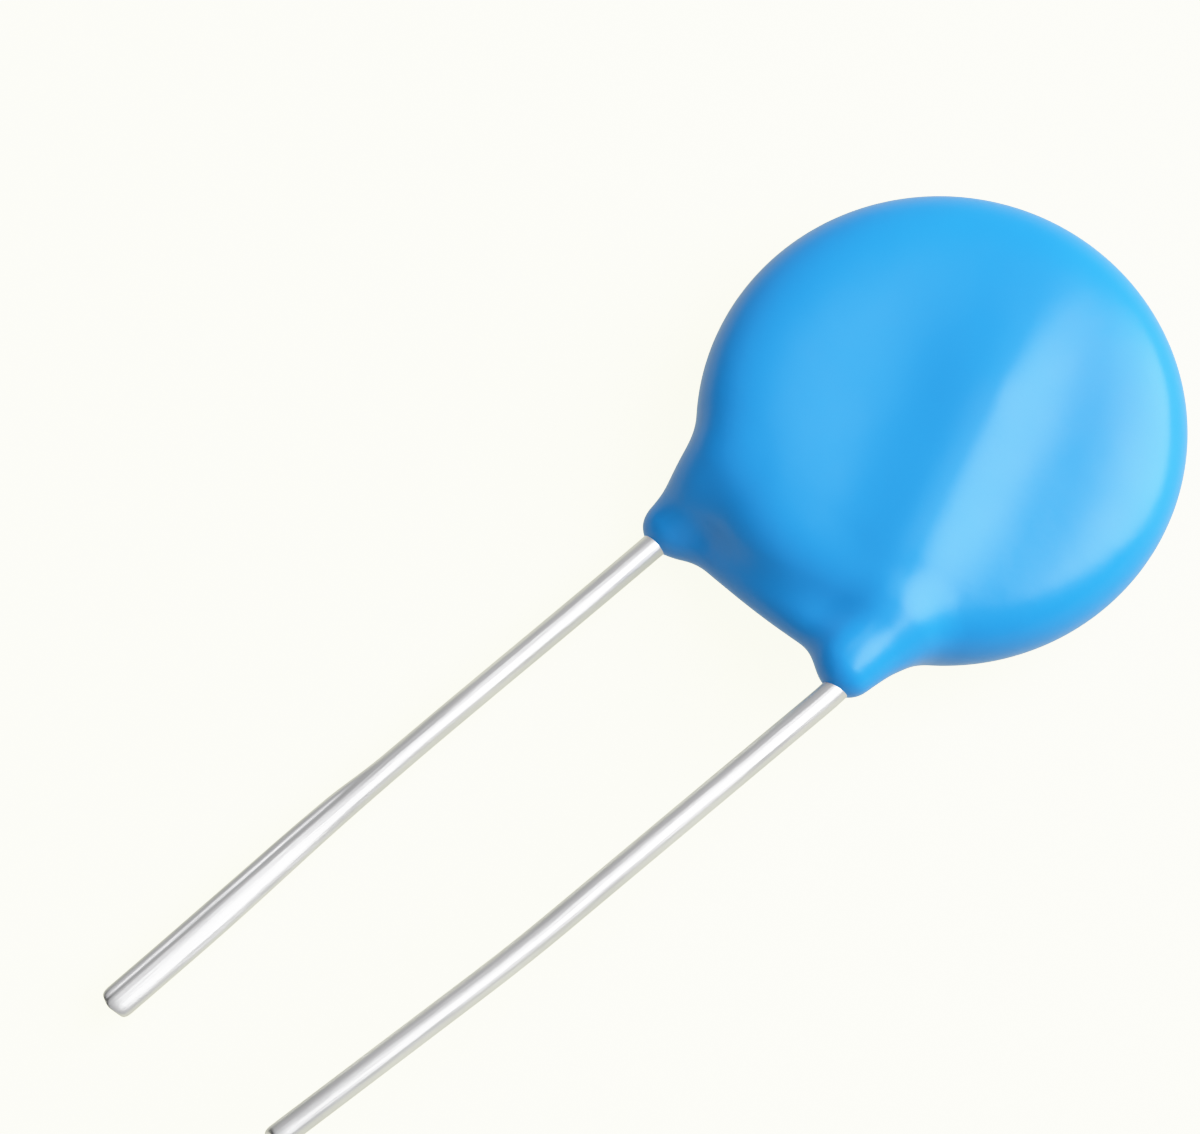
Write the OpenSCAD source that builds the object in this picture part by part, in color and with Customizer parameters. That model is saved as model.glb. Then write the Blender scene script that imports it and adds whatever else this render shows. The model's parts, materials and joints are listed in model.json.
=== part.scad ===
// Disc varistor with two radial wire leads.
// A fired zinc-oxide disc carries a silver electrode on each face. One tinned wire is soldered
// across each electrode, and the whole is dipped in epoxy, so the coat follows each wire as a
// soft ridge and runs a little way down both leads. The part lies on its back: +Z leaves the
// front face and the leads point along -Y. The origin is the middle of the outer box, level with
// the surface that the part lies on.

/* [Ceramic disc] */
// Diameter of the zinc-oxide disc
disc_d = 13.8; // [13:0.1:14.4]
// Thickness of the zinc-oxide disc
disc_t = 1.6; // [1.2:0.1:2.4]

/* [Electrodes] */
// Diameter of the silvered area on each face
electrode_d = 12.4; // [11:0.1:12.8]
// Thickness of the fired silver
electrode_t = 0.05; // [0.03:0.01:0.1]

/* [Leads] */
// Wire diameter
lead_d = 0.8; // [0.6:0.05:0.9]
// Distance between the two leads, across the part
lead_pitch = 7.5; // [6.8:0.1:8]
// How far the middle between the leads lies to the right of the disc's centre
lead_shift = 0.35; // [0:0.05:0.5]
// Solder film between wire and electrode
solder_film = 0.05; // [0.03:0.01:0.1]
// Distance of the kink in each wire below the disc's centre
kink_y = 7; // [6.8:0.1:7.4]
// Angle by which each wire turns inward at its kink
kink_angle = 22; // [16:1:26]
// How far past the coat's longer leg the bend at the kink ends
kink_past = 0.2; // [0.15:0.05:0.4]
// Length of wire that crosses the disc, from the kink
crossing_l = 11.5; // [10:0.1:12]
// Reach of the back lead below the disc's centre
back_reach = 30.5; // [26:0.5:36]
// How far outward of its place on the pitch the front lead kinks
front_splay = 0.18; // [0:0.01:0.2]
// Angle by which the front lead leans toward the back one below its kink
front_lean = 1.1; // [0:0.1:2]
// Distance of the gentle bend in the front lead below the disc's centre
bend_y = 20.65; // [18:0.05:23]
// Angle of that bend, toward the back lead
bend_angle = 2.8; // [1:0.1:6]
// Radius of that bend, at the wire's axis
bend_r = 65; // [40:5:90]
// Straight end of the front lead, past the bend
front_tail = 7.6; // [3:0.1:8]
// How much thicker a wire is through its bends than along its straights
bend_swell = 0.02; // [0.02:0.01:0.04]
// Distance below the disc's centre at which the back lead starts to be pressed flat
press_y = 18.5; // [17:0.1:19]
// Length over which it goes from round to flat
press_run = 5; // [3:0.5:6]
// Width of the back lead where it is flat
press_w = 1; // [0.94:0.02:1.1]
// Thickness of the back lead where it is flat
press_t = 0.54; // [0.5:0.02:0.7]

/* [Solder] */
// Radius of the fillet of solder along each wire
solder_r = 1; // [0.9:0.05:1.1]
// How far the fillet's axis lies below the electrode's face
solder_sink = 0.45; // [0.35:0.05:0.5]
// Start of the solder along the wire, from the kink
solder_from = 3.2; // [3:0.1:4]
// How far the solder stops short of the wire's inner end
solder_short = 1; // [0.8:0.1:3]

/* [Coating] */
// Coat over the rim of the disc
coat_rim = 0.6; // [0.5:0.05:0.9]
// Coat over the electrodes, in the middle of a face
coat_face = 1.15; // [1:0.05:1.3]
// Coat over the wires, where they cross the disc
coat_wire = 0.75; // [0.65:0.05:0.9]
// How squarely the coat's faces turn down to its rim, from 2 for a lens to 10 for nearly flat faces
rim_square = 7.4; // [6:0.2:9]
// Width of the ridge over a wire, from its crest to where it has fallen to a third
ridge_w = 1.5; // [1.2:0.1:1.8]
// How much wider the ridge's inner side gets with each millimetre along the wire
ridge_flare = 0.07; // [0:0.01:0.1]
// How far before the wire's inner end the ridge starts to fade
ridge_short = 3; // [2:0.1:4]
// Length over which the ridge fades into the face
ridge_fade = 3.7; // [2.5:0.1:4.5]
// Reach of the coat's leg down the front lead, below the disc's centre
front_leg = 8.35; // [8:0.05:8.6]
// Reach of the coat's leg down the back lead, below the disc's centre
back_leg = 8.75; // [8.4:0.05:9]
// Radius of a leg at its tip
leg_tip_r = 0.63; // [0.58:0.01:0.7]
// Radius of a leg at its root
leg_root_r = 0.82; // [0.75:0.01:0.95]
// Distance of a leg's root below the disc's centre
leg_root_y = 5.5; // [5:0.1:5.8]
// How far a leg's root leans in from its lead
leg_root_in = 0.18; // [0:0.01:0.3]
// How much nearer the disc's mid-plane a leg's root lies than its lead
leg_root_sink = 0.25; // [0:0.05:0.4]
// How far the back leg's tip sags outward from its lead
tip_sag = 0.2; // [0:0.05:0.25]
// Radius of the web between the legs
web_r = 0.48; // [0.42:0.02:0.6]
// How far the web's ends stand in from the leads
web_in = 0.72; // [0.5:0.01:1]
// Depth of the web's axis below the disc's centre, beside the front lead
web_front_y = 7.4; // [7.2:0.05:7.6]
// Depth of the web's axis below the disc's centre, beside the back lead
web_back_y = 7.75; // [7.5:0.05:7.9]
// Radius of the apron, the thicker coat between the web and the disc
apron_r = 1.1; // [1:0.05:1.2]
// Depth of the apron's axis below the disc's centre, beside the front lead
apron_front_y = 5.9; // [5.7:0.1:6.1]
// Depth of the apron's axis below the disc's centre, beside the back lead
apron_back_y = 6.2; // [6:0.1:6.4]
// How far the apron's end stands in from the front lead
apron_front_in = 0.9; // [0.7:0.1:1.2]
// How far the apron's end stands in from the back lead
apron_back_in = 0.2; // [0:0.1:0.5]
// How far the apron's ends lie from the disc's mid-plane, each toward its own lead
apron_z = 0.5; // [0.3:0.1:0.7]
// Softness of the blend between leg and disc
leg_blend = 1.3; // [1:0.1:1.6]
// Softness of the blend between web and apron
web_blend = 1; // [0.8:0.1:1.4]
// Softness of the blend between apron and disc
apron_blend = 1.2; // [0.8:0.1:1.4]

/* [Hidden] */

FRONT = 1;
BACK = -1;
$fn = 96;

// Heights from the disc's mid-plane, and outer sizes of the coat
face_z = disc_t / 2 + electrode_t;
lead_z = face_z + solder_film + lead_d / 2;
coat_z = face_z + coat_face;
coat_r = disc_d / 2 + coat_rim;
crest_z = lead_z + lead_d / 2 + coat_wire;

// How far a straight laps into the bend next to it
bend_lap = 0.1;
// How far the flats of the pressed lead stand off the round wire where they start
press_relief = 0.01;
// Length that each bend takes from the straights on either side of it
kink_set = max(front_leg, back_leg) + kink_past - kink_y;
bend_set = bend_r * tan(bend_angle / 2);
front_reach = bend_y + (bend_set + front_tail) * cos(front_lean + bend_angle);

// Numbers of columns of points around the coat, across the legs and past them, and of rings
leg_columns = 36;
rim_columns = 48;
half_rings = 22;
// How far past the legs the closer columns go, and over what angle the core draws back to a circle
leg_sector = 24;
core_fade = 16;
// Depth of the core below the coat's rim, and below the web
core_depth = 2.1;
// Share of the way from pole to rim at which the points leave the core's plane for its edge, and
// share at which the casting lines start to lean out
edge_from = 0.82;
lean_from = 0.5;
// Casting a point ends within this distance of the surface, or after this many steps
cast_error = 0.001;
cast_steps = 30;
// Steepness below which the measure of distance from the dipped disc is no longer stretched
least_steep = 0.35;

// Height of the disc's mid-plane, for the part lies on the crest of its back ridge, and place of
// the disc's centre along Y
rest_z = crest_z;
disc_y = (max(back_reach, front_reach) - coat_r) / 2;

// --- Lines that the coat follows, by side -------------------------------------------------------

function lead_x(side) = lead_shift + side * lead_pitch / 2;
function kink(side) = [lead_x(side), -kink_y, side * lead_z];
function crossing_end(side) =
    kink(side) + crossing_l * [-side * sin(kink_angle), cos(kink_angle), 0];
function leg_reach(side) = side == FRONT ? front_leg : back_leg;
function leg_tip(side) =
    [lead_x(side) - (side == BACK ? tip_sag : 0), leg_tip_r - leg_reach(side), side * lead_z];
function leg_root(side) =
    [lead_x(side) - side * leg_root_in, -leg_root_y, side * (lead_z - leg_root_sink)];
function apron_end(side) = side == FRONT
    ? [lead_x(FRONT) - apron_front_in, -apron_front_y, apron_z]
    : [lead_x(BACK) + apron_back_in, -apron_back_y, -apron_z];
function web_end(side) =
    [lead_x(side) - side * web_in, side == FRONT ? -web_front_y : -web_back_y, side * lead_z];

// --- The coat's form, as the distance of a point from its surface -------------------------------

// The lesser of two distances, with the crease between them blended over the width k
function blend(a, b, k) =
    let (share = max(0, min(1, 0.5 + 0.5 * (b - a) / k)))
    b * (1 - share) + a * share - k * share * (1 - share);

// Distance from a round bar from a to b, of radius ra at a and rb at b
function bar_gap(p, a, b, ra, rb) =
    let (ab = b - a, t = max(0, min(1, (p - a) * ab / (ab * ab))))
    norm(p - a - t * ab) - ra - t * (rb - ra);

// How much of the ridge over a wire stands at p: 1 along its crest, 0 well away from it
function ridge_share(p, side) =
    let (way = (crossing_end(side) - kink(side)) / crossing_l,
         along = (p - kink(side)) * way,
         outward = side * (p - kink(side)) * [way.y, -way.x, 0],
         width = ridge_w + (outward < 0 ? ridge_flare * max(0, min(along, crossing_l)) : 0),
         past = max(0, along - (crossing_l - ridge_short)))
    exp(-pow(outward / width, 2) - pow(past / ridge_fade, 2));

// Distance from the dipped disc without its legs: a pillow with a squarish rim, as thick at each
// point as the face and the ridge over the wire make it
function disc_gap(p) =
    let (share = ridge_share(p, p.z < 0 ? BACK : FRONT),
         half = coat_z + (crest_z - coat_z) * share,
         out = norm([p.x, p.y]) / coat_r,
         up = abs(p.z) / half,
         steep = norm([rim_square * pow(out, rim_square - 1) / coat_r, 2 * up / half]))
    (pow(out, rim_square) + up * up - 1) / max(steep, least_steep);

function apron_gap(p) = bar_gap(p, apron_end(BACK), apron_end(FRONT), apron_r, apron_r);
function web_gap(p) = bar_gap(p, web_end(BACK), web_end(FRONT), web_r, web_r);
function leg_gap(p, side) = bar_gap(p, leg_tip(side), leg_root(side), leg_tip_r, leg_root_r);
function coat_gap(p) =
    let (body = blend(blend(disc_gap(p), apron_gap(p), apron_blend), web_gap(p), web_blend))
    blend(blend(body, leg_gap(p, FRONT), leg_blend), leg_gap(p, BACK), leg_blend);

// Distance from p to the coat's surface along the direction d
function cast(p, d, t = 0, steps = cast_steps) =
    let (gap = coat_gap(p + t * d))
    (steps == 0 || abs(gap) < cast_error) ? t : cast(p, d, t - gap, steps - 1);

// --- The coat's points: columns around the disc, rings from the front pole to the back one ------

function leg_bearing(side) = atan2(leg_tip(side).y, leg_tip(side).x);
function column_angles() =
    let (from = leg_bearing(BACK) - leg_sector, span = leg_bearing(FRONT) + leg_sector - from)
    concat([for (i = [0:leg_columns - 1]) from + span * i / leg_columns],
           [for (i = [0:rim_columns - 1]) from + span + (360 - span) * i / rim_columns]);

// The core is a circle inside the rim that runs out to the web's axis between the legs, where it
// slants from the back lead's side to the front lead's
function to_web(angle) =
    let (past = max(leg_bearing(BACK) - angle, angle - leg_bearing(FRONT), 0),
         share = min(1, past / core_fade))
    0.5 + 0.5 * cos(180 * share);
function core_point(angle) =
    let (circle = (coat_r - core_depth) * [cos(angle), sin(angle), 0],
         near = min(max(angle, leg_bearing(BACK)), leg_bearing(FRONT)),
         a = web_end(BACK), b = web_end(FRONT),
         t = (a.y * cos(near) - a.x * sin(near)) / ((b.x - a.x) * sin(near) - (b.y - a.y) * cos(near)),
         edge = [a.x + t * (b.x - a.x), a.y + t * (b.y - a.y), a.z + max(0, min(1, t)) * (b.z - a.z)])
    circle + to_web(angle) * (edge - (coat_r - core_depth) * [cos(near), sin(near), 0]);

// The point of the column at this angle, s being 0 at the front pole, 1 at the rim and 2 at the
// back pole
function coat_point(angle, s) =
    let (way = 1 - abs(1 - s), core = core_point(angle), out = min(1, way / edge_from),
         slope = 90 * min(1, (1 - way) / (1 - lean_from)) * sign(1 - s),
         from = [core.x * out, core.y * out, core.z * out * out],
         d = [cos(slope) * cos(angle), cos(slope) * sin(angle), sin(slope)])
    from + cast(from, d) * d;

module coat_form() {
    angles = column_angles();
    n = len(angles);
    rings = 2 * half_rings - 1;
    front_pole = n * rings;
    back_pole = front_pole + 1;
    points = concat([for (i = [1:rings], angle = angles) coat_point(angle, i / half_rings)],
                    [coat_point(0, 0), coat_point(0, 2)]);
    // Each patch of four points is split along the diagonal that lies closer to the surface
    faces = concat(
        [for (j = [0:n - 1]) [front_pole, (j + 1) % n, j]],
        [for (i = [0:rings - 2], j = [0:n - 1])
            let (a = i * n + j, b = i * n + (j + 1) % n, c = a + n, d = b + n,
                 ad = abs(coat_gap((points[a] + points[d]) / 2)),
                 bc = abs(coat_gap((points[b] + points[c]) / 2)))
            each ad < bc ? [[a, b, d], [a, d, c]] : [[a, b, c], [b, d, c]]],
        [for (j = [0:n - 1]) [back_pole, (rings - 1) * n + j, (rings - 1) * n + (j + 1) % n]]);
    polyhedron(points, faces, convexity = 6);
}

// --- Places and shapes that the pieces share ----------------------------------------------------

// Puts a piece drawn about the disc's centre where the part lies
module in_place() {
    translate([0, disc_y, rest_z]) children();
}

// Puts a piece drawn for the front face, about the middle between the leads, on either side
module on_side(side) {
    translate([lead_shift, 0, 0]) rotate([0, side == FRONT ? 0 : 180, 0]) children();
}

// Puts a piece drawn at the inner end of the wire, which runs along -Y from there, in its place
module along_crossing() {
    end = crossing_end(FRONT);
    translate([end.x - lead_shift, end.y, lead_z]) rotate([0, 0, kink_angle]) children();
}

module disc_form() {
    cylinder(d = disc_d, h = disc_t, center = true);
}

module electrode_form(side) {
    translate([0, 0, side * (disc_t + electrode_t) / 2])
        cylinder(d = electrode_d, h = electrode_t, center = true);
}

// A wire along -Y as straight runs and bends: each entry of runs is the length of a straight, the
// clockwise turn after it and the radius of that turn. The straights lap into the bends. The
// children are drawn where the last bend ends.
module wire(runs, i = 0) {
    run = runs[i];
    lap_in = i > 0 ? bend_lap : 0;
    translate([0, lap_in, 0]) rotate([90, 0, 0]) cylinder(d = lead_d, h = lap_in + run[0] + bend_lap);
    translate([-run[2], -run[0], 0]) rotate([0, 0, -run[1]]) {
        rotate_extrude(angle = run[1]) translate([run[2], 0]) circle(d = lead_d + bend_swell);
        translate([run[2], 0, 0]) if (i < len(runs) - 1) wire(runs, i + 1) children(); else children();
    }
}

// The straight end of the front lead, from its last bend
module round_end() {
    translate([0, bend_lap, 0]) rotate([90, 0, 0]) cylinder(d = lead_d, h = bend_lap + front_tail);
}

// The straight end of the back lead, from its kink: round at first, then pressed flat
module pressed_end() {
    start = press_y - kink_y - kink_set;
    full = start + press_run;
    end = back_reach - kink_y - kink_set;
    loose = lead_d / 2 + press_relief;
    flat = press_t / 2;
    intersection() {
        rotate([90, 0, 0]) rotate_extrude()
            polygon([[0, -bend_lap], [lead_d / 2, -bend_lap], [lead_d / 2, start],
                     [press_w / 2, full], [press_w / 2, end], [0, end]]);
        rotate([90, 0, -90]) linear_extrude(height = 2 * press_w, center = true)
            polygon([[-lead_d, -loose], [start, -loose], [full, -flat], [end + lead_d, -flat],
                     [end + lead_d, flat], [full, flat], [start, loose], [-lead_d, loose]]);
    }
}

// The run of a wire over the disc, with a kink of this angle at its end
function kinked_run(angle) = [crossing_l - kink_set, angle, kink_set / tan(angle / 2)];

module front_wire() {
    on_side(FRONT) translate([front_splay, 0, 0]) along_crossing()
        wire([kinked_run(kink_angle + front_lean),
              [(bend_y - kink_y) / cos(front_lean) - kink_set - bend_set, bend_angle, bend_r]])
            round_end();
}

module back_wire() {
    on_side(BACK) along_crossing() wire([kinked_run(kink_angle)]) pressed_end();
}

// The fillet of solder, before the wire's own room is taken out of it
module solder_form(side) {
    drop = lead_z - face_z + solder_sink;
    solder_l = crossing_l - solder_short - solder_from;
    on_side(side) along_crossing() intersection() {
        translate([0, -solder_short, -drop]) {
            sphere(r = solder_r);
            rotate([90, 0, 0]) cylinder(r = solder_r, h = solder_l);
            translate([0, -solder_l, 0]) sphere(r = solder_r);
        }
        translate([-2 * solder_r, -crossing_l, face_z - lead_z])
            cube([4 * solder_r, crossing_l + solder_r, 2 * solder_r]);
    }
}

// --- The pieces ---------------------------------------------------------------------------------

module coating() {
    color([0.18, 0.6, 0.9]) in_place() difference() {
        coat_form();
        disc_form();
        electrode_form(FRONT);
        electrode_form(BACK);
        front_wire();
        back_wire();
        solder_form(FRONT);
        solder_form(BACK);
    }
}

module ceramic_disc() {
    color([0.25, 0.25, 0.27]) in_place() disc_form();
}

module front_electrode() {
    color([0.86, 0.86, 0.84]) in_place() electrode_form(FRONT);
}

module back_electrode() {
    color([0.86, 0.86, 0.84]) in_place() electrode_form(BACK);
}

module front_lead() {
    color([0.8, 0.8, 0.81]) in_place() front_wire();
}

module back_lead() {
    color([0.8, 0.8, 0.81]) in_place() back_wire();
}

module front_solder() {
    color([0.7, 0.71, 0.72]) in_place() difference() {
        solder_form(FRONT);
        front_wire();
    }
}

module back_solder() {
    color([0.7, 0.71, 0.72]) in_place() difference() {
        solder_form(BACK);
        back_wire();
    }
}

coating();
ceramic_disc();
front_electrode();
back_electrode();
front_lead();
back_lead();
front_solder();
back_solder();
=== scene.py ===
import json
from math import cos, exp, hypot, pi, radians, sin, tan

import bmesh
import bpy
import numpy as np
from mathutils import Matrix, Vector


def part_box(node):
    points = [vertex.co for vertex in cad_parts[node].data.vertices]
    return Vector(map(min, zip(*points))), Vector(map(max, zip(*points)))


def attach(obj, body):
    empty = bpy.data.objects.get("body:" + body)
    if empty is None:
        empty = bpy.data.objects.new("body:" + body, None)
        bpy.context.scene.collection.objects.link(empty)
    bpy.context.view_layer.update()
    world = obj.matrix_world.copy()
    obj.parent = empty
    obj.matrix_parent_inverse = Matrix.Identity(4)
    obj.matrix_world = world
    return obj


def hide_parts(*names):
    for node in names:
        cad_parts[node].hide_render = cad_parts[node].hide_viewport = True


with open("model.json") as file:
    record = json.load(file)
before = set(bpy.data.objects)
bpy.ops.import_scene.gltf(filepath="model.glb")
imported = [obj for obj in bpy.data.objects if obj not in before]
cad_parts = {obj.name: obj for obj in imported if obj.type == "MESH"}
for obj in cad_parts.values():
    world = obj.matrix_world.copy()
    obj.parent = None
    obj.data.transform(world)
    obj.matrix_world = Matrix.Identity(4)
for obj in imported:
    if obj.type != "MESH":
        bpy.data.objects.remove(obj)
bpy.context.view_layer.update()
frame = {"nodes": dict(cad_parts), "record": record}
scene = bpy.context.scene

# ---- Epoxy coat ------------------------------------------------------------------------------
# The finished disc is dipped in blue epoxy and cured, so the coat is one skin: a round-edged disc,
# a soft ridge over each wire where it crosses a face, a short leg down each wire and a web of
# epoxy between the legs. Its sizes are in millimetres about the middle of the ceramic disc.

MM = 0.001
disc_low, disc_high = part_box("ceramic_disc")
disc_middle = (disc_low + disc_high) / 2
disc_r = (disc_high.x - disc_low.x) / 2 / MM
pins = {mount["name"]: mount for mount in frame["record"]["mounts"]}
back_pin = (Vector(pins["back_lead_pin"]["pos_m"]) - disc_middle) / MM

FRONT, BACK = 1, -1
wire_r = pins["back_lead_pin"]["dims"]["r_mm"]
lead_z = -back_pin.z
lead_x = {BACK: back_pin.x, FRONT: back_pin.x + 7.5}
kink_y = -7.0
kink_angle = radians(22)
crossing_l = 11.5

coat_r = disc_r + 0.6
coat_z = 2.0
rim_square = 7.4
crest_z = 2.45
ridge_w = 1.5
ridge_flare = 0.07
ridge_full, ridge_fade = 8.5, 3.7
ridge_r = wire_r + 0.4
leg_tip_y = {BACK: -8.75, FRONT: -8.35}
leg_tip_r = {BACK: 0.63, FRONT: 0.7}
leg_root_y = -5.5
leg_root_z = 1.05
leg_root_r = 0.82
leg_root_in = 0.18
slope_tip, slope_tip_r = (-0.1, -7.85, -1.15), 0.55
slope_root, slope_root_r = (0.1, -5.6, 0.1), 0.8
slope_blend = 0.3
tip_sag = {BACK: 0.2, FRONT: 0}
web_y = {BACK: -7.75, FRONT: -7.4}
web_in = 0.72
web_r = 0.48
apron_y = {BACK: -6.2, FRONT: -5.9}
apron_in = {BACK: 0.2, FRONT: 0.9}
apron_z = 0.5
apron_r = 1.1
leg_blend, web_blend, apron_blend = 1.3, 1.0, 1.2

skin_step = 0.1
settle_steps = 8


def crossing(side):
    """The line of the wire over the disc, from its kink to its inner end."""
    kink = np.array([lead_x[side], kink_y, side * lead_z])
    return kink, kink + crossing_l * np.array([-side * sin(kink_angle), cos(kink_angle), 0])


def leg(side):
    """The line of a leg of the coat, from its tip to its root in the disc."""
    tip = np.array([lead_x[side] - tip_sag[side], leg_tip_y[side] + leg_tip_r[side], side * lead_z])
    return tip, np.array([lead_x[side] - side * leg_root_in, leg_root_y, side * leg_root_z])


def back_slope(points):
    """How far each point lies from the slope that fills the hollow between the disc and the back leg."""
    start = np.array([lead_x[BACK], 0, 0])
    return off_bar(points, start + slope_tip, start + slope_root, slope_tip_r, slope_root_r)


def apron_end(side):
    return np.array([lead_x[side] - side * apron_in[side], apron_y[side], side * apron_z])


def web_end(side):
    return np.array([lead_x[side] - side * web_in, web_y[side], side * lead_z])


def melt(a, b, width):
    """The lesser of two distances, with the crease between them filled over the width."""
    share = np.clip(0.5 + 0.5 * (b - a) / width, 0, 1)
    return b * (1 - share) + a * share - width * share * (1 - share)


def off_bar(points, a, b, r_a, r_b):
    along = np.clip((points - a) @ (b - a) / ((b - a) @ (b - a)), 0, 1)
    return np.linalg.norm(points - a - along[:, None] * (b - a), axis=1) - r_a - along * (r_b - r_a)


def ridge_share(points, side):
    """How much of the ridge over a wire stands at each point: 1 along its crest, 0 well away from it."""
    kink, end = crossing(side)
    way = (end - kink) / crossing_l
    along = (points - kink) @ way
    across = (points - kink) @ np.array([way[1], -way[0], 0])
    width = ridge_w + np.where(across * side < 0, ridge_flare * np.clip(along, 0, crossing_l), 0)
    return np.exp(-((across / width) ** 2) - (np.maximum(along - ridge_full, 0) / ridge_fade) ** 2)


def off_disc(points):
    """A pillow with a squarish rim, as thick at each point as its face and the ridge there make it."""
    share = np.where(points[:, 2] > 0, ridge_share(points, FRONT), ridge_share(points, BACK))
    half = coat_z + (crest_z - coat_z) * share
    out = np.hypot(points[:, 0], points[:, 1]) / coat_r
    up = abs(points[:, 2]) / half
    steep = np.hypot(rim_square * out ** (rim_square - 1) / coat_r, 2 * up / half)
    return (out**rim_square + up**2 - 1) / np.maximum(steep, 0.35)


def off_coat(points):
    """How far each point lies outside the coat's skin."""
    gap = melt(off_disc(points), off_bar(points, apron_end(BACK), apron_end(FRONT), apron_r, apron_r),
               apron_blend)
    gap = melt(gap, off_bar(points, web_end(BACK), web_end(FRONT), web_r, web_r), web_blend)
    gap = melt(gap, off_bar(points, *leg(FRONT), leg_tip_r[FRONT], leg_root_r), leg_blend)
    back_leg = melt(off_bar(points, *leg(BACK), leg_tip_r[BACK], leg_root_r), back_slope(points), slope_blend)
    return melt(gap, back_leg, leg_blend)


def settle(points):
    """Moves the points square onto the coat's skin."""
    nudge = 0.001
    for _ in range(settle_steps):
        gap = off_coat(points)
        slope = np.stack([(off_coat(points + nudge * axis) - gap) / nudge for axis in np.eye(3)], axis=1)
        points = points - gap[:, None] * slope / np.maximum((slope**2).sum(1), 0.1)[:, None]
    return points


def add_bar(mesh, a, b, r_a, r_b):
    a, b = Vector(a), Vector(b)
    stand = Matrix.Translation((a + b) / 2) @ (b - a).to_track_quat("Z", "Y").to_matrix().to_4x4()
    bmesh.ops.create_cone(mesh, cap_ends=True, segments=32, radius1=r_a, radius2=r_b,
                          depth=(b - a).length, matrix=stand)
    for end, r in ((a, r_a), (b, r_b)):
        bmesh.ops.create_icosphere(mesh, subdivisions=3, radius=r, matrix=Matrix.Translation(end))


def finish_mesh(name, mesh, place):
    """Turns a bmesh drawn in millimetres into a smooth piece at its place in the frame."""
    data = bpy.data.meshes.new(name)
    mesh.to_mesh(data)
    mesh.free()
    data.transform(place)
    data.polygons.foreach_set("use_smooth", [True] * len(data.polygons))
    piece = bpy.data.objects.new(name, data)
    scene.collection.objects.link(piece)
    return piece


in_place = Matrix.Translation(disc_middle) @ Matrix.Scale(MM, 4)

body = bmesh.new()
bmesh.ops.create_cone(body, cap_ends=True, segments=128, radius1=coat_r, radius2=coat_r, depth=2 * coat_z)
rims = [edge for edge in body.edges if abs(edge.verts[0].co.z - edge.verts[1].co.z) < MM]
bmesh.ops.bevel(body, geom=rims, offset=coat_z * 0.8, offset_type="OFFSET", segments=10, profile=0.5,
                affect="EDGES", material=-1)
add_bar(body, web_end(BACK), web_end(FRONT), web_r, web_r)
add_bar(body, apron_end(BACK), apron_end(FRONT), apron_r, apron_r)
for side in (FRONT, BACK):
    add_bar(body, *leg(side), leg_tip_r[side], leg_root_r)
    add_bar(body, *crossing(side), ridge_r, ridge_r)

for step in (2 * skin_step, skin_step):
    rough = finish_mesh("rough_coat", body, Matrix.Identity(4))
    remesh = rough.modifiers.new("skin", "REMESH")
    remesh.mode = "VOXEL"
    remesh.voxel_size = step
    body = bmesh.new()
    body.from_object(rough, bpy.context.evaluated_depsgraph_get())
    bpy.data.objects.remove(rough)
    for _ in range(3):
        bmesh.ops.smooth_vert(body, verts=body.verts, factor=0.5, use_axis_x=True, use_axis_y=True,
                              use_axis_z=True)
        for vert, place in zip(body.verts, settle(np.array([vert.co for vert in body.verts]))):
            vert.co = place
coat = finish_mesh("coat", body, in_place)


def new_material(name):
    """A material with its node tree and its Principled shader."""
    made = bpy.data.materials.new(name)
    made.use_nodes = True
    tree = made.node_tree
    shader = tree.nodes["Principled BSDF"]
    return made, tree, shader


def join(tree, source, target):
    tree.links.new(source, target)


# The grain group gives a fine unevenness and a slow drift of tone over any piece, by its size in metres
grain = bpy.data.node_groups.new("surface_grain", "ShaderNodeTree")
for name in ("Grain size", "Drift size"):
    grain.interface.new_socket(name, in_out="INPUT", socket_type="NodeSocketFloat")
for name in ("Grain", "Drift"):
    grain.interface.new_socket(name, in_out="OUTPUT", socket_type="NodeSocketFloat")
grain_in = grain.nodes.new("NodeGroupInput")
grain_out = grain.nodes.new("NodeGroupOutput")
where = grain.nodes.new("ShaderNodeTexCoord")
for size_name, result, detail in (("Grain size", "Grain", 3), ("Drift size", "Drift", 1)):
    per_metre = grain.nodes.new("ShaderNodeMath")
    per_metre.operation = "DIVIDE"
    per_metre.inputs[0].default_value = 1
    join(grain, grain_in.outputs[size_name], per_metre.inputs[1])
    noise = grain.nodes.new("ShaderNodeTexNoise")
    noise.inputs["Detail"].default_value = detail
    join(grain, where.outputs["Object"], noise.inputs["Vector"])
    join(grain, per_metre.outputs[0], noise.inputs["Scale"])
    join(grain, noise.outputs["Fac"], grain_out.inputs[result])


def add_grain(tree, grain_size, drift_size):
    made = tree.nodes.new("ShaderNodeGroup")
    made.node_tree = grain
    made.inputs["Grain size"].default_value = grain_size * MM
    made.inputs["Drift size"].default_value = drift_size * MM
    return made.outputs["Grain"], made.outputs["Drift"]


def tone(tree, value, dark, light, low=0.3, high=0.7):
    """A colour ramp from dark to light as the value goes from low to high."""
    ramp = tree.nodes.new("ShaderNodeValToRGB")
    ramp.color_ramp.elements[0].position = low
    ramp.color_ramp.elements[1].position = high
    ramp.color_ramp.elements[0].color = (*dark, 1)
    ramp.color_ramp.elements[1].color = (*light, 1)
    join(tree, value, ramp.inputs["Fac"])
    return ramp.outputs["Color"]


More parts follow.
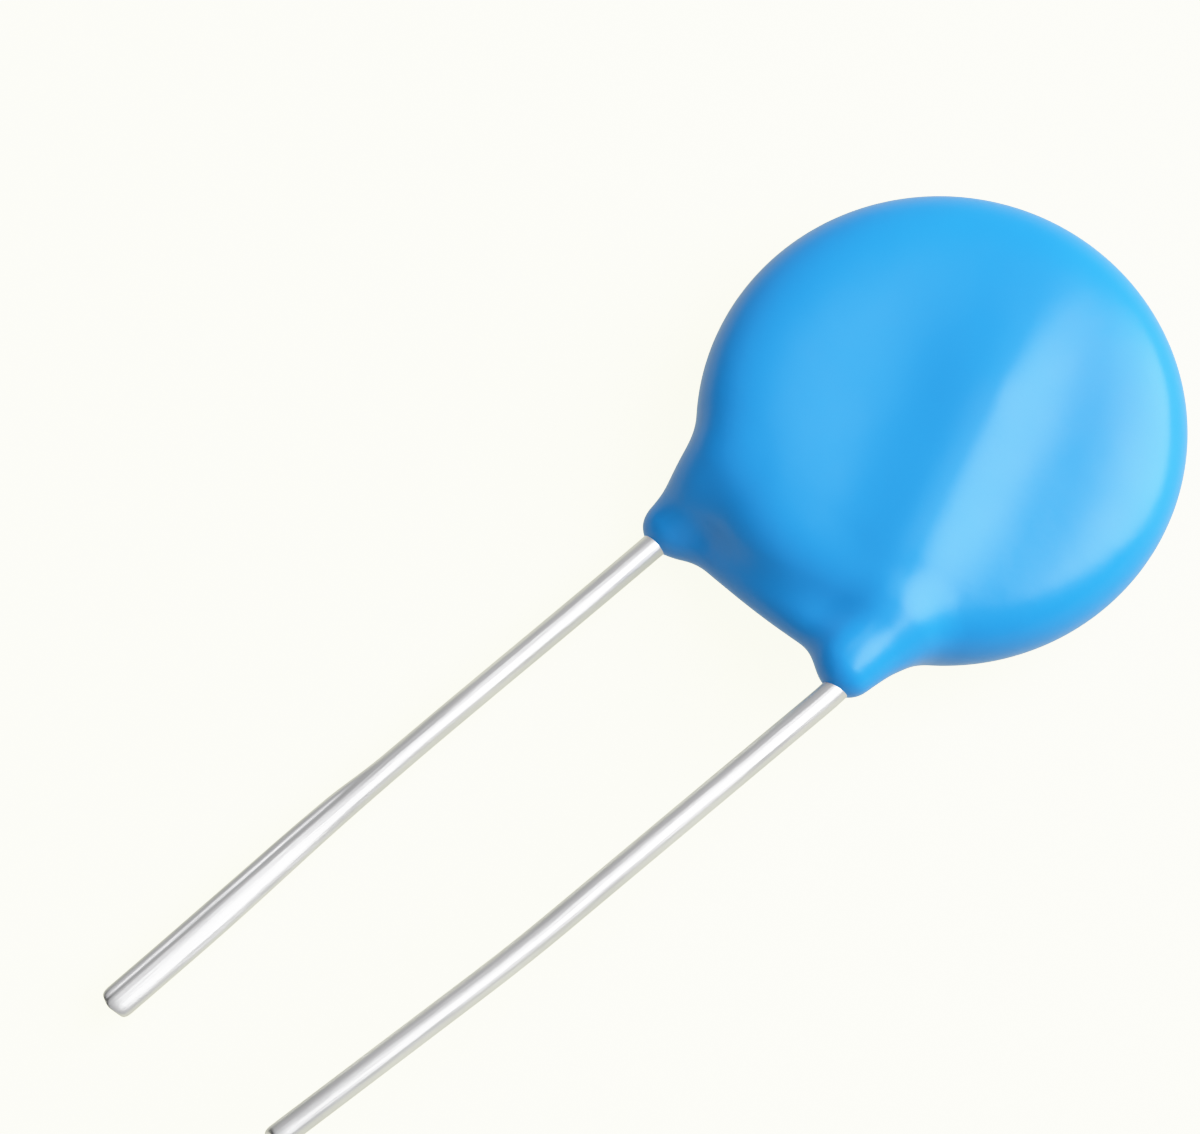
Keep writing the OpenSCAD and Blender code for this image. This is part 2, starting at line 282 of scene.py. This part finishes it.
def spread(tree, value, low, high):
    """The value, which is about 0.3 to 0.7, stretched to run from low to high."""
    node = tree.nodes.new("ShaderNodeMapRange")
    node.inputs["From Min"].default_value = 0.3
    node.inputs["From Max"].default_value = 0.7
    node.inputs["To Min"].default_value = low
    node.inputs["To Max"].default_value = high
    join(tree, value, node.inputs["Value"])
    return node.outputs["Result"]


def bump(tree, shader, height, depth):
    """Bump of this depth in millimetres."""
    node = tree.nodes.new("ShaderNodeBump")
    node.inputs["Distance"].default_value = depth * MM
    join(tree, height, node.inputs["Height"])
    join(tree, node.outputs["Normal"], shader.inputs["Normal"])


epoxy, tree, shader = new_material("blue_epoxy")
peel, drift = add_grain(tree, grain_size=1.4, drift_size=6)
join(tree, tone(tree, drift, dark=(0.006, 0.29, 0.83), light=(0.008, 0.31, 0.87)),
     shader.inputs["Base Color"])
join(tree, spread(tree, peel, 0.28, 0.34), shader.inputs["Roughness"])
bump(tree, shader, peel, 0.02)
coat.data.materials.append(epoxy)
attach(coat, "root")
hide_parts("coating")

# ---- Wire leads ------------------------------------------------------------------------------
# Two tinned copper wires, drawn round and cut off the coil. Each crosses its face of the disc,
# turns at a wide kink inside its leg of the coat and runs on below it. The front one has a slight
# bend, and the far half of the back one was squeezed flatter by the jaws that fed it.

kink_set = 1.95
front_splay, front_lean = 0.18, radians(1.1)
bend_y, bend_angle, bend_r, front_tail = -20.65, radians(2.8), 65, 7.6
bend_set = bend_r * tan(bend_angle / 2)
back_end_y = -30.5
round_sides = 96
ring_gap = 0.3
end_round = 0.28
end_slant = 0.28
end_set = end_round + end_slant * wire_r

press_y, press_run, press_thin = -18.5, 5, 0.1
widen_y, widen_run, widen = -18, 9, 0.17
lip_y, lip_run, lip = -19.4, 2.2, 0.09
groove_x, groove_w, groove_depth = 0.235, 0.07, 0.04
twist = radians(-7)
bow, set_aside = 0.09, 0.05

# How the cut rounds the end of a wire: how far each ring lies past the straight wire, as a share of
# the rounded length, and how wide it is as a share of the wire
cut_rings = ((0.35, 0.985), (0.62, 0.95), (0.83, 0.89), (0.95, 0.81), (1, 0.72), (0.97, 0.66), (0.9, 0.6),
             (0.9, 0.35), (0.84, 0.25), (0.6, 0.16), (0.52, 0.06))

mid_lead = Vector(((lead_x[FRONT] + lead_x[BACK]) / 2, 0, 0))
turned_over = {FRONT: Matrix.Identity(4),
               BACK: (Matrix.Translation(mid_lead) @ Matrix.Rotation(pi, 4, "Y")
                      @ Matrix.Translation(-mid_lead))}


def grow(wire, edges, stand, move, drawn, step):
    """Draws the ring of edges on by one step, moved as seen from its stand."""
    grown = bmesh.ops.extrude_edge_only(wire, edges=edges)["geom"]
    verts = {item for item in grown if isinstance(item, bmesh.types.BMVert)}
    edges = [item for item in grown if isinstance(item, bmesh.types.BMEdge) and verts.issuperset(item.verts)]
    bmesh.ops.transform(wire, matrix=stand @ move @ stand.inverted(), verts=list(verts))
    for vert in verts:
        vert[drawn] = vert[drawn] - Vector((0, step, 0))
    return edges


def draw_wire(splay, lean, runs):
    """A wire over the front face, in runs: a straight length, the clockwise turn after it, its radius.

    Its attribute "drawn" keeps where each point was along and around the straight wire."""
    wire = bmesh.new()
    drawn = wire.verts.layers.float_vector.new("drawn")
    stand = (Matrix.Translation(Vector(crossing(FRONT)[1]) + Vector((splay, 0, 0)))
             @ Matrix.Rotation(kink_angle, 4, "Z"))
    kink = kink_angle + lean
    runs = [(crossing_l - kink_set, kink, kink_set / tan(kink / 2)), *runs]
    ring = bmesh.ops.create_circle(wire, cap_ends=True, segments=round_sides, radius=wire_r,
                                   matrix=stand @ Matrix.Rotation(pi / 2, 4, "X"))["verts"]
    for vert in ring:
        vert[drawn] = stand.inverted() @ vert.co
    edges = list({edge for vert in ring for edge in vert.link_edges})
    for length, turn, turn_r in runs:
        count = round(length / ring_gap)
        moves = [(length / count, Matrix.Translation((0, -length / count, 0)))] * count
        if turn:
            count = round(turn * turn_r / ring_gap)
            pivot = Matrix.Translation((-turn_r, 0, 0))
            moves += [(turn * turn_r / count,
                       pivot @ Matrix.Rotation(-turn / count, 4, "Z") @ pivot.inverted())] * count
        for step, move in moves:
            edges = grow(wire, edges, stand, move, drawn, step)
            stand = stand @ move
    last = Matrix.Identity(4)
    for out, width in cut_rings:
        here = Matrix.Translation((0, -end_round * out, 0)) @ Matrix.Diagonal((width, 1, width, 1))
        here[1][2] = end_slant * out
        edges = grow(wire, edges, stand, here @ last.inverted(), drawn, 0)
        last = here
    bmesh.ops.edgeloop_fill(wire, edges=edges)
    bmesh.ops.recalc_face_normals(wire, faces=wire.faces)
    return wire


front_wire = draw_wire(front_splay, front_lean, [
    ((kink_y - bend_y) / cos(front_lean) - kink_set - bend_set, bend_angle, bend_r),
    (front_tail - end_set, 0, 0)])
back_wire = draw_wire(0, 0, [(kink_y - kink_set - back_end_y - end_set, 0, 0)])


def eased(start, run, y):
    """How far the change that begins at start and takes this run has come at y, from 0 to 1."""
    share = min(1, max(0, (start - y) / run))
    return share * share * (3 - 2 * share)


# The jaws squeeze the round section flatter, raise a lip beside a groove along its upper face and
# leave the wire a little twisted and bowed
for vert in back_wire.verts:
    across, up, y = vert.co.x - lead_x[FRONT], vert.co.z - lead_z, vert.co.y
    raised = eased(lip_y, lip_run, y)
    half_w = wire_r + (lip * raised if across > 0 else widen * eased(widen_y, widen_run, y))
    half_t = wire_r - press_thin * eased(press_y, press_run, y)
    out = hypot(across, up) or 1
    scale = 1 / hypot(across / out / half_w, up / out / half_t) / wire_r if out < 1 else 1
    across, up = across * scale, up * scale
    if up < 0:
        up += raised * groove_depth * exp(-((across - groove_x) / groove_w) ** 2)
    pressed = eased(press_y, press_run, y)
    turned = Matrix.Rotation(twist * pressed, 2) @ Vector((across, up))
    free = min(1, max(0, (leg_tip_y[BACK] - y) / (leg_tip_y[BACK] - back_end_y)))
    vert.co.x = lead_x[FRONT] + turned.x + bow * sin(pi * free) ** 2 + set_aside * pressed
    vert.co.z = lead_z + turned.y

wires = {}
for side, name, wire in ((FRONT, "front_wire", front_wire), (BACK, "back_wire", back_wire)):
    wires[side] = finish_mesh(name, wire, in_place @ turned_over[side])

tinned, tree, shader = new_material("tinned_wire")
drawn_at = tree.nodes.new("ShaderNodeAttribute")
drawn_at.attribute_name = "drawn"
stretch = tree.nodes.new("ShaderNodeMapping")
stretch.inputs["Scale"].default_value = (14, 0.35, 14)
join(tree, drawn_at.outputs["Vector"], stretch.inputs["Vector"])
streaks = tree.nodes.new("ShaderNodeTexNoise")
streaks.inputs["Scale"].default_value = 1
streaks.inputs["Detail"].default_value = 2
join(tree, stretch.outputs["Vector"], streaks.inputs["Vector"])
_, drift = add_grain(tree, grain_size=0.12, drift_size=2.5)
shader.inputs["Metallic"].default_value = 1
join(tree, tone(tree, drift, dark=(0.78, 0.78, 0.79), light=(0.86, 0.86, 0.87)), shader.inputs["Base Color"])
join(tree, spread(tree, streaks.outputs["Fac"], 0.3, 0.42), shader.inputs["Roughness"])
bump(tree, shader, streaks.outputs["Fac"], 0.012)
for side, name in ((FRONT, "front_lead"), (BACK, "back_lead")):
    wires[side].data.materials.append(tinned)
    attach(wires[side], "root")
    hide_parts(name)

# ---- Disc, electrodes and solder -------------------------------------------------------------
# Under the coat: a disc of pressed and fired zinc oxide, a film of fired silver paste on each face
# and the fillet of solder that holds each wire down on it.

def dress(node, made):
    """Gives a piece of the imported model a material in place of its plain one."""
    materials = frame["nodes"][node].data.materials
    materials.clear()
    materials.append(made)


fired, tree, shader = new_material("fired_zinc_oxide")
grains, drift = add_grain(tree, grain_size=0.15, drift_size=3)
join(tree, tone(tree, grains, dark=(0.035, 0.035, 0.04), light=(0.075, 0.075, 0.08)),
     shader.inputs["Base Color"])
join(tree, spread(tree, drift, 0.55, 0.7), shader.inputs["Roughness"])
bump(tree, shader, grains, 0.01)
dress("ceramic_disc", fired)

paste, tree, shader = new_material("fired_silver")
grains, drift = add_grain(tree, grain_size=0.1, drift_size=2)
shader.inputs["Metallic"].default_value = 1
join(tree, tone(tree, drift, dark=(0.74, 0.73, 0.7), light=(0.86, 0.85, 0.82)), shader.inputs["Base Color"])
join(tree, spread(tree, grains, 0.5, 0.65), shader.inputs["Roughness"])
bump(tree, shader, grains, 0.006)
dress("front_electrode", paste)
dress("back_electrode", paste)

set_solder, tree, shader = new_material("set_solder")
ripple, drift = add_grain(tree, grain_size=0.6, drift_size=2)
shader.inputs["Metallic"].default_value = 1
join(tree, tone(tree, drift, dark=(0.56, 0.57, 0.58), light=(0.68, 0.69, 0.7)), shader.inputs["Base Color"])
join(tree, spread(tree, ripple, 0.25, 0.45), shader.inputs["Roughness"])
bump(tree, shader, ripple, 0.03)
dress("front_solder", set_solder)
dress("back_solder", set_solder)

# ---- Floor, light and camera -----------------------------------------------------------------
# The part lies on a plain pale floor under soft studio light.

table = bmesh.new()
bmesh.ops.create_grid(table, x_segments=1, y_segments=1, size=600)
floor = finish_mesh("floor", table, Matrix.Scale(MM, 4))
pale, tree, shader = new_material("pale_floor")
shader.inputs["Base Color"].default_value = (0.14, 0.14, 0.137, 1)
shader.inputs["Roughness"].default_value = 1
shader.inputs["Emission Color"].default_value = (1, 1, 0.8, 1)


def by_ray(tree, kind, seen, other):
    """One strength for rays of this kind and another for the rest, each a socket or a number."""
    light_path = tree.nodes.new("ShaderNodeLightPath")
    choice = tree.nodes.new("ShaderNodeMapRange")
    join(tree, light_path.outputs[kind], choice.inputs["Value"])
    for end, strength in (("To Max", seen), ("To Min", other)):
        if isinstance(strength, bpy.types.NodeSocket):
            join(tree, strength, choice.inputs[end])
        else:
            choice.inputs[end].default_value = strength
    return choice.outputs["Result"]


def darker_near(tree, coordinates, start, end, dark, light, plain):
    """For mirror-like rays a strength that rises from dark to light away from the near left, else plain."""
    where = tree.nodes.new("ShaderNodeTexCoord")
    away = tree.nodes.new("ShaderNodeVectorMath")
    away.operation = "DOT_PRODUCT"
    away.inputs[1].default_value = (1, 1, 0)
    join(tree, where.outputs[coordinates], away.inputs[0])
    rise = tree.nodes.new("ShaderNodeMapRange")
    rise.inputs["From Min"].default_value = start
    rise.inputs["From Max"].default_value = end
    rise.inputs["To Min"].default_value = dark
    rise.inputs["To Max"].default_value = light
    join(tree, away.outputs["Value"], rise.inputs["Value"])
    return by_ray(tree, "Is Glossy Ray", rise.outputs["Result"], plain)


# The paper glows for the camera, and only faintly where it lights the part
# For mirror-like rays the paper's glow is darker towards the near left: a painted shadow of the part on the
# paper, seen in its reflections
mirrored_with_painted_shadow = darker_near(tree, "Object", -45 * MM, -20 * MM, dark=0.05, light=0.66, plain=0.36)
join(tree, by_ray(tree, "Is Camera Ray", 1.38, mirrored_with_painted_shadow), shader.inputs["Emission Strength"])
floor.data.materials.append(pale)

world = bpy.data.worlds.new("studio")
world.use_nodes = True
room = world.node_tree
background = room.nodes["Background"]
background.inputs["Color"].default_value = (1, 1, 1, 1)
join(room, darker_near(room, "Generated", -1.15, -0.8, dark=0.03, light=0.52, plain=0.33),
     background.inputs["Strength"])
scene.world = world

# Bright tones fade into white by degrees, as on film
scene.view_settings.view_transform = "Standard"
scene.view_settings.use_curve_mapping = True
tones = scene.view_settings.curve_mapping
brightest = 2.5
tones.white_level = (brightest, brightest, brightest)
for light, shown in ((0.2, 0.2), (0.4, 0.4), (0.6, 0.57), (0.8, 0.715), (1, 0.825), (1.2, 0.9), (1.4, 0.955),
                     (1.7, 0.985), (2.1, 0.999)):
    tones.curves[3].points.new(light / brightest, shown)
tones.update()

camera = bpy.data.objects.new("camera", bpy.data.cameras.new("camera"))
scene.collection.objects.link(camera)
camera.data.sensor_width = 36
camera.data.lens = 147.4
camera.data.clip_start = 10 * MM
aim = disc_middle + Vector(((lead_x[FRONT] + lead_x[BACK]) / 2, 0, 0)) * MM
camera_turn = (Matrix.Rotation(radians(51.44), 4, "Z") @ Matrix.Rotation(radians(18.08), 4, "X")
               @ Matrix.Rotation(radians(-3.26), 4, "Z"))
camera.matrix_world = (Matrix.Translation(aim) @ camera_turn
                       @ Matrix.Translation(Vector((-10.66, -3.99, 150)) * MM))
scene.camera = camera


# A softbox stands to the right of the camera and above it, and a small fill hangs over the part
def soft_light(name, turn, rise, wide, high, far, radiance):
    """A flat light that faces the part, at these angles from the camera's own line to it."""
    panel = bpy.data.objects.new(name, bpy.data.lights.new(name, "AREA"))
    scene.collection.objects.link(panel)
    panel.data.shape = "RECTANGLE"
    panel.data.size, panel.data.size_y = (2 * far * tan(radians(angle) / 2) * MM for angle in (wide, high))
    panel.data.energy = radiance * pi * panel.data.size * panel.data.size_y
    panel.matrix_world = (Matrix.Translation(disc_middle) @ camera_turn
                          @ Matrix.Rotation(radians(turn), 4, "Y") @ Matrix.Rotation(radians(-rise), 4, "X")
                          @ Matrix.Translation((0, 0, far * MM)))


soft_light("softbox", turn=50, rise=18, wide=66, high=56, far=300, radiance=5.2)
soft_light("top_fill", turn=-3, rise=36, wide=12, high=12, far=300, radiance=2.2)
